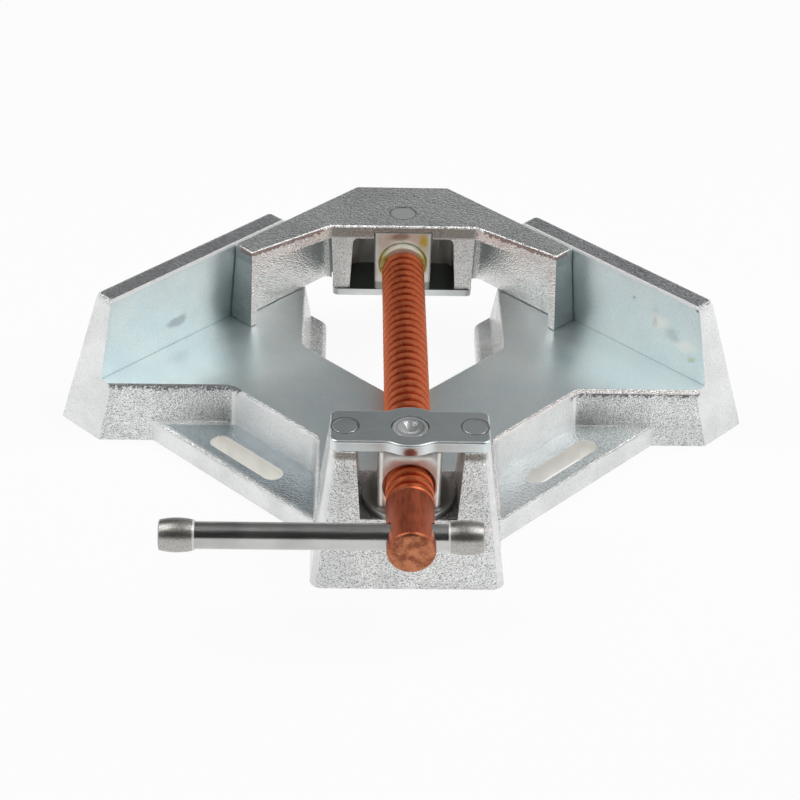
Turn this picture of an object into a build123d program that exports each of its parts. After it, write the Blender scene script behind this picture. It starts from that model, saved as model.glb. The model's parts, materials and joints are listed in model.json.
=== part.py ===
from build123d import *
from math import radians, sqrt, tan
import os

# A corner clamp: a cast base with two fixed jaw walls at a right angle, and a moving corner jaw
# that a screw pushes into the corner. Lengths are in millimetres. The origin lies on the bench
# plane, under the axis on which the screw's nut swivels. X runs across the clamp, Y from the
# handle towards the corner, and Z is up. Distances "along" and "from" a jaw wall are measured on
# the right half, where the wall's inner face is the line X + Y = apex_y.

ROOT2 = sqrt(2)
wall_angle = 45.0
same_point = 0.01

# Fixed jaw walls
apex_y = 212.0
deck_top = 26.6
jaw_height = 35.0
wall_top = deck_top + jaw_height
wall_thickness = 10.4
wall_near_end = 171.8
wall_far_end = 72.5
wall_draft = 11.7
wall_edge_radius = 3.0
wall_corner_radius = 3.2

# Axis of the screw, which sets the heights of the yoke and the nut
axis_height = 16.7
screw_axis_z = deck_top + axis_height

# Deck of the base, and the window that opens towards the corner
deck_front_y = 81.0
front_draft = 3.5
deck_diagonal = 8.4
deck_edge_radius = 1.5
neck_half_width = 36.0
neck_corner_radius = 9.0
bend_radius = 7.0
window_half_width = 43.0
window_tip_y = 70.5
window_draft = 8.5
window_corner_radius = 6.0
window_tip_radius = 12.0
window_ledge_width = 5.6
window_ledge_height = 7.6
window_ledge_radius = 1.8
window_ledge_corner = 3.0
window_edge_radius = 0.8

# Low flanges with the slots that bolt the clamp to a bench
flange_thickness = 9.6
flange_offset = 24.4
flange_edge_radius = 1.5
slot_width = 9.0
slot_length = 40.0
slot_offset = 13.8
slot_along = 84.2

# Yoke at the front of the base, whose two cheeks carry the bridge
yoke_above_axis = 15.8
yoke_top = screw_axis_z + yoke_above_axis
yoke_foot_half_width = 37.9
yoke_top_half_width = 30.5
yoke_foot_front = 19.3
yoke_top_front = 11.2
yoke_foot_rear = 24.0
yoke_top_rear = 10.4
yoke_corner_radius = 5.0
yoke_edge_radius = 1.2
cavity_below_axis = 12.9
cavity_floor = screw_axis_z - cavity_below_axis
cavity_half_width = 18.7
cavity_draft = 4.0

# Clearances
running_fit = 0.08
press_fit_gap = 0.02
seat_gap = 0.2
side_gap = 0.5
cut_margin = 1.0

# Bridge plate over the nut, with its two rivets
bridge_thickness = 4.5
bridge_width = 21.2
bridge_length = 2 * yoke_top_half_width
bridge_corner_radius = 3.2
bridge_bulge_radius = 13.3
bridge_blend_radius = 9.0
bridge_edge_radius = 1.0
rivet_radius = 5.1
rivet_inset = 5.7
rivet_x = bridge_length / 2 - rivet_inset
rivet_depth = 11.0
rivet_recess = 0.3
rivet_chamfer = 0.5

# Swivelling nut with its two trunnions and its round foot
nut_width = 24.2
nut_depth = 22.4
nut_corner_radius = 2.0
nut_mouth = 1.3
nut_foot_radius = cavity_half_width - side_gap
nut_foot_thickness = 2.7
trunnion_radius = 7.25
trunnion_depth = 12.0
trunnion_chamfer = 0.6
pin_recess = 0.4
centre_mark_radius = 3.0

# Screw, whose journal turns in the thrust block, and its rings
screw_radius = 9.2
screw_front_y = -53.0
screw_end_chamfer = 1.2
shoulder_standoff = 3.9
shoulder_chamfer = 1.2
journal_radius = 6.0
journal_end = 1.2
thrust_ring_radius = 9.9
thrust_ring_seat = 1.6
retaining_ring_radius = 8.6
retaining_ring_thickness = 1.8

# Handle bar through the screw's head, with a knob pressed on each end
bar_inset = 10.2
bar_y = screw_front_y + bar_inset
bar_radius = 5.1
bar_hole_clearance = 0.3
bar_length = 116.0
bar_shift = -33.0
bar_chamfer = 0.6
knob_length = 13.3
knob_end_wall = 2.0
knob_end_radius = 5.6
knob_middle_radius = 6.45
knob_edge_radius = 0.8

# Moving jaw
jaw_gap = 0.6
jaw_lift = 0.3
jaw_face = apex_y - jaw_gap * ROOT2
jaw_bottom = deck_top + jaw_lift
jaw_nose_cut = 20.4
jaw_depth = 35.9
jaw_rear_y = apex_y - jaw_nose_cut
jaw_front_y = jaw_rear_y - jaw_depth
jaw_plate_thickness = 6.3
plate_bottom = wall_top - jaw_plate_thickness
jaw_bend_x = 31.7
jaw_arm_end = 103.1
jaw_arm_width = 10.4
jaw_web_thickness = 4.4
jaw_lip_thickness = 3.6
jaw_end_draft = 6.5
jaw_lip_draft = 4.5
jaw_edge_radius = 1.2

# Thrust block, on whose pins the jaw swivels, and the pocket that holds it
block_width = 24.6
block_depth = 20.0
block_corner_radius = 1.2
block_overhang = 0.8
block_front_y = jaw_front_y - block_overhang
block_bore_mouth = 0.8
block_pin_inset = 12.8
block_pin_y = block_front_y + block_pin_inset
block_pin_radius = 5.4
screw_shoulder_y = block_front_y - shoulder_standoff
journal_end_y = block_front_y + block_depth + seat_gap + retaining_ring_thickness + journal_end
pocket_rear_y = journal_end_y + side_gap
pocket_half_width = 21.9
pocket_leg_width = 9.5
pocket_draft = 3.1
leg_draft = 2.2
pocket_corner_radius = 6.0
pocket_roof_radius = 2.5
pocket_relief_depth = 3.2
leg_blend_radius = 3.0

# Keeper plate under the block, riveted to the pocket's legs
keeper_thickness = 3.1
keeper_width = 23.4
keeper_overhang = 0.4
keeper_corner_radius = 2.5
keeper_y = block_front_y + keeper_width / 2
keeper_rivet_radius = 2.8
keeper_rivet_depth = 8.0


def mirrored(points):
    """Closes a half outline, given from front to rear on the right, with its mirror image."""
    left = [(-x, y) for x, y in reversed(points) if x > 0]
    return points + left


def outline_face(points, z, rounds=()):
    """A flat face at height z. rounds holds (corner, radius) pairs for the right half."""
    face = make_face(Polyline(*[(x, y, z) for x, y in points], close=True)).face()
    for (x, y), radius in rounds:
        corners = [Vector(x, y, z), Vector(-x, y, z)]
        near = [v for v in face.vertices() if min((v.center() - c).length for c in corners) < same_point]
        face = face.fillet_2d(radius, near)
    return face


def column(x, y, z, radius, height):
    """An upright cylinder that stands on the point x, y, z."""
    return Pos(x, y, z) * Cylinder(radius, height, align=(Align.CENTER, Align.CENTER, Align.MIN))


def block_shape(half_width, front, rear, bottom, top):
    """An upright box, centred across the clamp."""
    sides = (Align.CENTER, Align.MIN, Align.MIN)
    return Pos(0, front, bottom) * Box(2 * half_width, rear - front, top - bottom, align=sides)


def along_screw(y):
    """The place on the screw's axis at this Y, with Z turned to run towards the handle."""
    return Pos(0, y, screw_axis_z) * Rot(X=90)


def crossing(difference, total):
    """The point where the lines X - Y = difference and X + Y = total cross."""
    return ((total + difference) / 2, (total - difference) / 2)


def along_wall(distance):
    """X - Y of a line square to the right wall, at this distance from the apex."""
    return distance * ROOT2 - apex_y


def from_wall(distance):
    """X + Y of a line parallel to the right wall, this far outside its inner face."""
    return apex_y + distance * ROOT2


def draft_at(z, angle, top):
    """How far a drafted face has moved at height z, below the height it starts from."""
    return (top - z) * tan(radians(angle))


# Base casting

def wall_lines(z):
    """The near end, far end and outer side of the right wall at height z, all drafted."""
    grow = draft_at(z, wall_draft, wall_top)
    near = along_wall(wall_near_end + grow)
    far = along_wall(wall_far_end - grow)
    return near, far, from_wall(wall_thickness + grow)


def fixed_wall():
    sections = []
    for z in (deck_top, wall_top):
        near, far, outside = wall_lines(z)
        points = [crossing(near, apex_y), crossing(near, outside),
                  crossing(far, outside), crossing(far, apex_y)]
        rounds = [(corner, wall_corner_radius) for corner in points[1:3]]
        sections.append(outline_face(points, z, rounds))
    wall = loft(sections, ruled=True)
    middle = from_wall(wall_thickness / 2)
    outer = [e for e in wall.edges().group_by(Axis.Z)[-1] if e.center().X + e.center().Y > middle]
    return fillet(outer, wall_edge_radius)


def deck_section(z):
    """The deck's outline at height z, front to rear on the right, with its corners rounded."""
    front_step = draft_at(z, front_draft, deck_top)
    window_step = draft_at(z, window_draft, deck_top)
    near, far, outside = wall_lines(z)
    front = deck_front_y - front_step
    neck = neck_half_width + front_step
    diagonal = front_step * ROOT2 - deck_diagonal
    window = window_half_width - window_step
    tip = window_tip_y + window_step * ROOT2
    neck_corner = (neck, neck - diagonal)
    bend = (front + diagonal, front)
    window_corner = (window, window + tip)
    points = [(neck, 0), neck_corner, bend, (front + near, front), crossing(near, outside),
              crossing(far, outside), (window, window - far), window_corner, (0, tip)]
    rounds = [(neck_corner, neck_corner_radius), (bend, bend_radius),
              (crossing(near, outside), wall_corner_radius), (crossing(far, outside), wall_corner_radius),
              (window_corner, window_corner_radius), ((0, tip), window_tip_radius)]
    return outline_face(mirrored(points), z, rounds)


def deck():
    """The deck, with its upper edges rounded towards the handle and round the window."""
    body = loft([deck_section(0), deck_section(deck_top)], ruled=True)
    rim = body.edges().group_by(Axis.Z)[-1]
    front = [e for e in rim if abs(e.center().X) + e.center().Y < apex_y - side_gap
             and abs(e.center().X) - e.center().Y > -deck_diagonal - neck_corner_radius
             and e.center().Y > side_gap]
    body = fillet(front, deck_edge_radius)
    rim = body.edges().group_by(Axis.Z)[-1]
    window = [e for e in rim if e.center().Y > window_tip_y - side_gap
              and abs(e.center().X) < window_half_width + side_gap]
    return fillet(window, window_edge_radius)


def window_ledge():
    """The low ledge that runs round the foot of the window."""
    far = wall_lines(0)[1]
    reach = draft_at(0, window_draft, deck_top) + window_ledge_width
    inner = window_half_width - reach
    inner_tip = window_tip_y + reach * ROOT2
    corner = (inner, inner + inner_tip)
    points = [(0, window_tip_y), (window_half_width, window_half_width + window_tip_y),
              (window_half_width, window_half_width - far), (inner, inner - far), corner, (0, inner_tip)]
    rounds = [(corner, window_ledge_corner), ((0, inner_tip), window_tip_radius - window_ledge_width)]
    ledge = extrude(outline_face(mirrored(points), 0, rounds), window_ledge_height)
    edge = [e for e in ledge.edges().group_by(Axis.Z)[-1] if abs(e.center().X) < inner + side_gap
            and e.center().Y - abs(e.center().X) > inner_tip - side_gap]
    return fillet(edge, window_ledge_radius)


def bench_flange():
    """The right low flange between the wing and the yoke, with its slot."""
    edge = flange_offset * ROOT2 - deck_diagonal
    inner_x = neck_half_width - neck_corner_radius
    points = [(inner_x, inner_x - edge), (deck_front_y + edge, deck_front_y),
              (deck_front_y - deck_diagonal, deck_front_y), (inner_x, inner_x + deck_diagonal)]
    flange = extrude(outline_face(points, 0), flange_thickness)
    front = [e for e in flange.edges().group_by(Axis.Z)[-1]
             if abs(e.center().X - e.center().Y - edge) < side_gap]
    flange = fillet(front, flange_edge_radius)
    x, y = crossing(slot_offset * ROOT2 - deck_diagonal, slot_along * ROOT2)
    slot = SlotOverall(slot_length, slot_width, rotation=wall_angle)
    return flange - Pos(x, y, 0) * extrude(slot, flange_thickness)


def yoke_section(z, half_width, front, rear):
    return outline_face(mirrored([(half_width, -front), (half_width, rear)]), z,
                        [((half_width, -front), yoke_corner_radius)])


def yoke():
    """The two cheeks and the channel between them, which is wider at the top."""
    foot = yoke_section(0, yoke_foot_half_width, yoke_foot_front, yoke_foot_rear)
    top = yoke_section(yoke_top, yoke_top_half_width, yoke_top_front, yoke_top_rear)
    spread = draft_at(cavity_floor, cavity_draft, yoke_top)
    front = -yoke_foot_front - cut_margin
    rear = yoke_foot_rear + cut_margin
    channel = [outline_face(mirrored([(half, front), (half, rear)]), z)
               for half, z in ((cavity_half_width, cavity_floor), (cavity_half_width + spread, yoke_top))]
    body = loft([foot, top], ruled=True) - loft(channel, ruled=True)
    sides = [e for e in body.edges().group_by(Axis.Z)[-1]
             if abs(abs(e.center().X) - yoke_top_half_width) < side_gap]
    return fillet(sides, yoke_edge_radius)


def base_casting():
    body = deck() + window_ledge()
    for part in (fixed_wall(), bench_flange()):
        body = body + part + mirror(part, Plane.YZ)
    body = body + yoke()
    bore_bottom = cavity_floor - trunnion_depth - seat_gap
    body = body - column(0, 0, bore_bottom, trunnion_radius + running_fit, yoke_top - bore_bottom)
    for side in (-1, 1):
        hole = column(side * rivet_x, 0, yoke_top - rivet_depth, rivet_radius + press_fit_gap, rivet_depth)
        body = body - hole
    return body


# Bridge, rivets and nut

def bridge_plate():
    """A riveted plate that swells round the nut's upper trunnion."""
    outline = RectangleRounded(bridge_length, bridge_width, bridge_corner_radius)
    outline = outline + Circle(bridge_bulge_radius)
    necks = [v for v in outline.vertices() if abs(v.X) < bridge_bulge_radius]
    outline = fillet(necks, bridge_blend_radius)
    plate = Pos(0, 0, yoke_top) * extrude(outline, bridge_thickness)
    plate = fillet(plate.edges().group_by(Axis.Z)[-1], bridge_edge_radius)
    plate = plate - column(0, 0, yoke_top, trunnion_radius + running_fit, bridge_thickness)
    for side in (-1, 1):
        plate = plate - column(side * rivet_x, 0, yoke_top, rivet_radius + press_fit_gap, bridge_thickness)
    return plate


def bridge_rivets():
    length = rivet_depth + bridge_thickness - rivet_recess
    rivet = column(0, 0, yoke_top - rivet_depth, rivet_radius, length)
    rivet = chamfer(rivet.edges().group_by(Axis.Z)[-1], rivet_chamfer)
    return Compound(children=[Pos(side * rivet_x, 0, 0) * rivet for side in (-1, 1)])


def screw_nut():
    """One forging: a block with the screw's bore, a trunnion above, a round foot and a trunnion below."""
    foot_bottom = cavity_floor + seat_gap
    foot_top = foot_bottom + nut_foot_thickness
    block = block_shape(nut_width / 2, -nut_depth / 2, nut_depth / 2, foot_top, yoke_top - 2 * seat_gap)
    block = fillet(block.edges().filter_by(Axis.Z), nut_corner_radius)
    foot = column(0, 0, foot_bottom, nut_foot_radius, nut_foot_thickness)
    foot = chamfer(foot.edges().group_by(Axis.Z)[-1], rivet_chamfer)
    lower_length = trunnion_depth + nut_foot_thickness
    lower = column(0, 0, cavity_floor - trunnion_depth, trunnion_radius, lower_length)
    pin_top = yoke_top + bridge_thickness - pin_recess
    upper = column(0, 0, foot_top, trunnion_radius, pin_top - foot_top)
    upper = chamfer(upper.edges().group_by(Axis.Z)[-1], trunnion_chamfer)
    mark = Pos(0, 0, pin_top) * Cone(0, centre_mark_radius, centre_mark_radius)
    return block + foot + lower + upper - mark - nut_bore()


def nut_bore():
    """The bore at the thread's outer size, with a widened mouth towards the handle."""
    radius = screw_radius + running_fit
    bore = along_screw(0) * Cylinder(radius, nut_depth + 2 * cut_margin)
    mouth = along_screw((nut_mouth - nut_depth) / 2) * Cone(radius, radius + nut_mouth, nut_mouth)
    return bore + mouth


# Screw and handle

def screw():
    """The screw at its outer size: threaded length, head with a cross hole, and the journal."""
    rim = screw_radius - screw_end_chamfer
    profile = [(0, screw_front_y), (rim, screw_front_y), (screw_radius, screw_front_y + screw_end_chamfer),
               (screw_radius, screw_shoulder_y - shoulder_chamfer),
               (screw_radius - shoulder_chamfer, screw_shoulder_y), (journal_radius, screw_shoulder_y),
               (journal_radius, journal_end_y), (0, journal_end_y)]
    body = Pos(0, 0, screw_axis_z) * revolve(make_face(Polyline(*profile, close=True)), Axis.Y)
    cross_hole = Cylinder(bar_radius + bar_hole_clearance, 2 * (screw_radius + cut_margin))
    return body - Pos(0, bar_y, screw_axis_z) * Rot(Y=90) * cross_hole


def handle_bar():
    bar = Pos(bar_shift, bar_y, screw_axis_z) * Rot(Y=90) * Cylinder(bar_radius, bar_length)
    return chamfer(bar.edges().filter_by(GeomType.CIRCLE), bar_chamfer)


def handle_knob(side):
    """A barrel-shaped knob pressed on the bar's end, with its open end towards the screw."""
    half = knob_length / 2
    seat = half - knob_end_wall
    bore = bar_radius + press_fit_gap
    barrel = ThreePointArc((knob_end_radius, -half), (knob_middle_radius, 0), (knob_end_radius, half))
    inside = Polyline((knob_end_radius, half), (0, half), (0, seat), (bore, seat), (bore, -half),
                      (knob_end_radius, -half))
    knob = revolve(make_face(barrel + inside), Axis.Y)
    outer_end = knob.edges().filter_by(GeomType.CIRCLE).sort_by(Axis.Y)[-1]
    knob = fillet(outer_end, knob_edge_radius)
    middle_x = bar_shift + side * (bar_length / 2 - seat + press_fit_gap)
    return Pos(middle_x, bar_y, screw_axis_z) * Rot(Z=-90 * side) * knob


def handle_knob_left():
    return handle_knob(-1)


def handle_knob_right():
    return handle_knob(1)


# Moving jaw

def jaw_plate():
    """The flat top of the jaw, rounded along every edge but those of the clamping faces."""
    end = along_wall(jaw_arm_end)
    points = [(jaw_bend_x, jaw_front_y), crossing(end, jaw_face - jaw_arm_width * ROOT2),
              crossing(end, jaw_face), (jaw_face - jaw_rear_y, jaw_rear_y)]
    plate = extrude(outline_face(mirrored(points), plate_bottom), jaw_plate_thickness)
    soft = [e for e in plate.edges().group_by(Axis.Z)[-1]
            if abs(abs(e.center().X) + e.center().Y - jaw_face) > side_gap]
    return fillet(soft, jaw_edge_radius)


def jaw_web():
    """The right clamping face with the lip that closes the arm's end, drafted below the plate."""
    web_inside = jaw_face - jaw_web_thickness * ROOT2
    sections = []
    for z in (jaw_bottom, plate_bottom):
        end = jaw_arm_end + draft_at(z, jaw_end_draft, plate_bottom)
        lip_inside = jaw_face - (jaw_arm_width + draft_at(z, jaw_lip_draft, plate_bottom)) * ROOT2
        outer = along_wall(end)
        inner = along_wall(end - jaw_lip_thickness)
        points = [crossing(inner, lip_inside), crossing(outer, lip_inside), crossing(outer, jaw_face),
                  (jaw_face - jaw_rear_y, jaw_rear_y), (web_inside - jaw_rear_y, jaw_rear_y),
                  crossing(inner, web_inside)]
        sections.append(outline_face(points, z))
    return loft(sections, ruled=True)


def pocket_section(z):
    """The pocket's opening at height z, wider towards the keeper."""
    half = pocket_half_width + draft_at(z, pocket_draft, plate_bottom)
    corner = (half, pocket_rear_y)
    points = mirrored([(half, jaw_front_y - cut_margin), corner])
    return outline_face(points, z, [(corner, pocket_corner_radius)])


def leg_section(z):
    """The outline round the pocket's legs at height z, narrower towards the keeper."""
    half = pocket_half_width + pocket_leg_width - draft_at(z, leg_draft, plate_bottom)
    points = [(half, jaw_front_y), (half, jaw_face - half), (jaw_face - jaw_rear_y, jaw_rear_y)]
    return outline_face(mirrored(points), z)


def leg_bottom_middle():
    """X of the middle of the right leg where the keeper plate lies against it."""
    inner = pocket_half_width + draft_at(jaw_bottom, pocket_draft, plate_bottom)
    outer = pocket_half_width + pocket_leg_width - draft_at(jaw_bottom, leg_draft, plate_bottom)
    return (inner + outer) / 2


def keeper_half_length():
    outer = pocket_half_width + pocket_leg_width - draft_at(jaw_bottom, leg_draft, plate_bottom)
    return outer + keeper_overhang


def jaw_body():
    """Plate, webs and legs in one, with the corners between legs and webs blended."""
    web = jaw_web()
    legs = loft([leg_section(jaw_bottom), leg_section(plate_bottom)], ruled=True)
    body = jaw_plate() + web + mirror(web, Plane.YZ) + legs
    corner_y = jaw_face - jaw_web_thickness * ROOT2 - pocket_half_width - pocket_leg_width
    corners = [e for e in body.edges() if e.bounding_box().size.Z > jaw_height / 2
               and abs(e.center().Y - corner_y) < 2 * side_gap]
    return fillet(corners, leg_blend_radius)


def pocket():
    """The space for the thrust block, with a rounded roof."""
    space = loft([pocket_section(jaw_bottom), pocket_section(plate_bottom)], ruled=True)
    roof = [e for e in space.edges().group_by(Axis.Z)[-1] if e.center().Y > jaw_front_y]
    return fillet(roof, pocket_roof_radius)


def moving_jaw():
    jaw = jaw_body() - pocket()
    front = jaw_front_y - cut_margin
    jaw = jaw - block_shape(block_width / 2 + side_gap, front, pocket_rear_y, plate_bottom,
                            plate_bottom + pocket_relief_depth)
    jaw = jaw - block_shape(keeper_half_length() + side_gap, front, block_front_y + keeper_width + side_gap,
                            jaw_bottom, jaw_bottom + keeper_thickness)
    jaw = jaw - column(0, block_pin_y, plate_bottom, block_pin_radius + running_fit, jaw_plate_thickness)
    for side in (-1, 1):
        jaw = jaw - column(side * leg_bottom_middle(), keeper_y, jaw_bottom,
                           keeper_rivet_radius + press_fit_gap, keeper_thickness + keeper_rivet_depth)
    return jaw


# Thrust block, rings and keeper

def thrust_block():
    """The block that the screw turns in, with the two pins on which the jaw swivels."""
    bottom = jaw_bottom + keeper_thickness + seat_gap
    top = plate_bottom + pocket_relief_depth - seat_gap
    block = block_shape(block_width / 2, block_front_y, block_front_y + block_depth, bottom, top)
    block = fillet(block.edges().filter_by(Axis.Z), block_corner_radius)
    pin_bottom = jaw_bottom + pin_recess
    block = block + column(0, block_pin_y, pin_bottom, block_pin_radius, wall_top - pin_recess - pin_bottom)
    middle_y = block_front_y + block_depth / 2
    bore = Cylinder(journal_radius + running_fit, block_depth + 2 * cut_margin)
    block = block - along_screw(middle_y) * bore
    seat_radius = thrust_ring_radius + running_fit
    block = block - along_screw(block_front_y) * Cylinder(seat_radius, 2 * thrust_ring_seat)
    mouth = Cone(seat_radius, seat_radius + block_bore_mouth, block_bore_mouth)
    return block - along_screw(block_front_y + block_bore_mouth / 2) * mouth


def ring(radius, bore_radius, front_y, rear_y):
    """A flat ring on the screw's axis."""
    length = rear_y - front_y
    return along_screw(front_y + length / 2) * (Cylinder(radius, length) - Cylinder(bore_radius, length))


def thrust_ring():
    """The yellow ring between the screw's shoulder and the block."""
    front = screw_shoulder_y + seat_gap
    rear = block_front_y + thrust_ring_seat - seat_gap
    return ring(thrust_ring_radius, journal_radius + running_fit, front, rear)


def retaining_ring():
    """The ring behind the block that keeps the journal in it."""
    front = block_front_y + block_depth + seat_gap
    rear = front + retaining_ring_thickness
    return ring(retaining_ring_radius, journal_radius + press_fit_gap, front, rear)


def keeper_plate():
    outline = RectangleRounded(2 * keeper_half_length(), keeper_width, keeper_corner_radius)
    plate = Pos(0, keeper_y, jaw_bottom) * extrude(outline, keeper_thickness)
    plate = plate - column(0, block_pin_y, jaw_bottom, block_pin_radius + running_fit, keeper_thickness)
    for side in (-1, 1):
        plate = plate - column(side * leg_bottom_middle(), keeper_y, jaw_bottom,
                               keeper_rivet_radius + press_fit_gap, keeper_thickness)
    return plate


def keeper_rivets():
    length = keeper_thickness + keeper_rivet_depth - rivet_recess
    return Compound(children=[column(side * leg_bottom_middle(), keeper_y, jaw_bottom + rivet_recess,
                                     keeper_rivet_radius, length) for side in (-1, 1)])


PARTS = [base_casting, bridge_plate, bridge_rivets, screw_nut, screw, handle_bar,
         handle_knob_left, handle_knob_right, thrust_ring, retaining_ring, thrust_block,
         moving_jaw, keeper_plate, keeper_rivets]

os.makedirs("parts", exist_ok=True)
for build in PARTS:
    export_step(build(), f"parts/{build.__name__}.step")
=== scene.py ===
import json
import math

import bmesh
import bpy
from mathutils import Matrix, Vector


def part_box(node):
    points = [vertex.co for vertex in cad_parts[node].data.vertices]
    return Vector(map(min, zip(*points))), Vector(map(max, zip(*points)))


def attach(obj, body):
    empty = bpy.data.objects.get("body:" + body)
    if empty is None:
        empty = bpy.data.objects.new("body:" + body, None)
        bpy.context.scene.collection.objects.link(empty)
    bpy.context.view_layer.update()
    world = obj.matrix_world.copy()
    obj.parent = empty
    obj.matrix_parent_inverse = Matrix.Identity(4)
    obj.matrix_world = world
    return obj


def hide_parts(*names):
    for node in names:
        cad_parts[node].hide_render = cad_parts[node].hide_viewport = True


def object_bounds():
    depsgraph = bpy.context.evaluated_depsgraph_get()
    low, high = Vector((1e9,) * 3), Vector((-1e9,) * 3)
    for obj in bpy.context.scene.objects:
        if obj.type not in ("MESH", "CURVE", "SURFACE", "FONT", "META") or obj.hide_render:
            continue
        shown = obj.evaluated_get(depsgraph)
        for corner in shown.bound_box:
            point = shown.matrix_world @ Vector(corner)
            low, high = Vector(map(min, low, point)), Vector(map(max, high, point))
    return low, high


# Looks of the corner clamp: zinc plated castings with machined faces, a copper coloured screw with
# its real thread, a bright handle bar with satin knobs, and a light studio. Lengths are in metres.

MM = 0.001


def colour(red, green, blue):
    return (red, green, blue, 1.0)


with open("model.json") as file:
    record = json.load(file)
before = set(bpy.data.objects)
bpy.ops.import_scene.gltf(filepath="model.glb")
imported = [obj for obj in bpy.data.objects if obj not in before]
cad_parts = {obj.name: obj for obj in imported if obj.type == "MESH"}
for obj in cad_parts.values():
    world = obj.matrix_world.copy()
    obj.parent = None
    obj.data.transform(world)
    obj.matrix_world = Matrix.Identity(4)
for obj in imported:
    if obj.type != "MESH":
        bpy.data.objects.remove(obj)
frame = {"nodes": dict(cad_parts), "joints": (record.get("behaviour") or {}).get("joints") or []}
bounds_at_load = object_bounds()
nodes = frame["nodes"]

# Places taken from the frame
screw_low, screw_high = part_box("screw")
bar_low, bar_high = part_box("handle_bar")
block_low, block_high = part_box("thrust_block")
bridge_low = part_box("bridge_plate")[0]
rivets_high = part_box("bridge_rivets")[1]
jaw_swivel = next(joint for joint in frame["joints"] if joint["name"] == "jaw_swivel")
SCREW_AXIS = (screw_low.z + screw_high.z) / 2
SCREW_RADIUS = (screw_high.x - screw_low.x) / 2
BAR_MIDDLE_Y = (bar_low.y + bar_high.y) / 2
BAR_RADIUS = (bar_high.z - bar_low.z) / 2
RIVET_RADIUS = rivets_high.y
RIVET_ACROSS = rivets_high.x - RIVET_RADIUS
WALL_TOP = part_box("base_casting")[1].z
JAW_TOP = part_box("moving_jaw")[1].z
KEEPER_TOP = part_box("keeper_plate")[1].z
NUT_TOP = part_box("screw_nut")[1].z
RING_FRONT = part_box("thrust_ring")[0].y
LEFT_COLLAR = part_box("handle_knob_left")[1].x
RIGHT_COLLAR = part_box("handle_knob_right")[0].x
PIN_PLACE = Vector(jaw_swivel["pos_m"])

# Base casting, whose deck and clamping faces are machined
DECK_TOP = WALL_TOP - 35.0 * MM
DECK_FRONT = 81.0 * MM
APEX_Y = 212.0 * MM
NECK_END = 73.0 * MM
CORNER_REACH = 28.0 * MM
FLANGE_TOP = 9.6 * MM
FLANGE_WIDTH = 24.4 * MM
FLANGE_RIM = 2.0 * MM
SLOT_START = 42.0 * MM

# Moving jaw, its pocket, and the end of the thrust block's pin in its top
ARM_START = 34.0 * MM
JAW_FRONT = PIN_PLACE.y - 12.0 * MM
JAW_GAP = 0.6 * MM
POCKET_HALF = 21.9 * MM
PIN_RADIUS = 5.4 * MM

# Nut: the top of its round foot, and the punch mark and the turned ring of painted shade in the end of its
# pin
FOOT_TOP = SCREW_AXIS - 10.2 * MM
PUNCH_RADIUS = 3.5 * MM
PUNCH_DEPTH = 3.4 * MM
TURNED_RADIUS = 5.2 * MM

# Screw and its thread
PITCH = 5.0 * MM
THREAD_DEPTH = 1.55 * MM
THREAD_START = -25.0 * MM
CREST_SHARE = 0.44
ROOT_SHARE = 0.14
RUNOUT_TURNS = 0.5
SHOULDER_Y = RING_FRONT - 0.2 * MM
JOURNAL_RADIUS = 6.0 * MM
BAR_HOLE_RADIUS = BAR_RADIUS + 0.3 * MM
END_ROUND = 1.8 * MM

# How finely the meshes are made, and where their edges count as sharp
ROWS_PER_PITCH = 14
COLUMNS = 80
ROUND_STEPS = 6
HOLE_STEPS = 64
SHARP_ANGLE = math.radians(35)
FLAT_ANGLE = math.radians(0.5)
WELD_REACH = 0.001 * MM
EDGE_WIDTH = 0.8 * MM
EDGE_STEPS = 3
MACHINED_REACH = 0.1 * MM
MACHINED_FACING = 0.999

# Patterns in the materials: how far their edges fade, the range that noise mostly keeps to, how
# ragged spots are, and the size of the castings' grain
FADE = 1.0 * MM
SIDE_FADE = 10.0 * MM
NOISE_LOW = 0.3
NOISE_HIGH = 0.7
SPOT_RAGGED = 0.3
FINE_GRAIN = 0.7 * MM
COARSE_GRAIN = 1.05 * MM

# Tones of the zinc plating on the castings, and painted light and shade: lit and shaded copies for the ends
# and tops, and painted shade and highlights at flanges, corners, edges, pits and gaps
BLACK = colour(0.0, 0.0, 0.0)
FRONT_TONE = colour(0.96, 0.98, 0.97)
END_LIGHT_TONE = colour(0.99, 1.0, 1.0)
TOP_SHADE_TONE = colour(0.34, 0.35, 0.36)
JAW_FRONT_TONE = colour(0.99, 1.0, 0.98)
JAW_END_SHADE_TONE = colour(0.40, 0.46, 0.46)
JAW_TOP_SHADE_TONE = colour(0.48, 0.49, 0.49)
LEFT_FLANGE_SHADE_TONE = colour(0.50, 0.57, 0.60)
RIGHT_FLANGE_SHADE_TONE = colour(0.90, 0.95, 0.96)
SLOT_TONE = colour(0.98, 0.97, 0.93)
CORNER_TONE = colour(0.20, 0.22, 0.21)
WORN_HIGHLIGHT_TONE = colour(0.97, 0.98, 0.98)
ARM_RIM_TONE = colour(0.30, 0.21, 0.19)
STRIP_TONE = colour(0.26, 0.24, 0.20)
GAP_SHADE_TONE = colour(0.06, 0.06, 0.06)
FRONT_EDGE_SHADE_TONE = colour(0.10, 0.10, 0.11)
FRONT_RIM_HIGHLIGHT_TONE = colour(0.97, 0.93, 0.91)
PIT_SHADE_TONE = colour(0.12, 0.13, 0.14)
DECK_CORNER_SHADE_TONE = colour(0.30, 0.36, 0.40)

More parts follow.
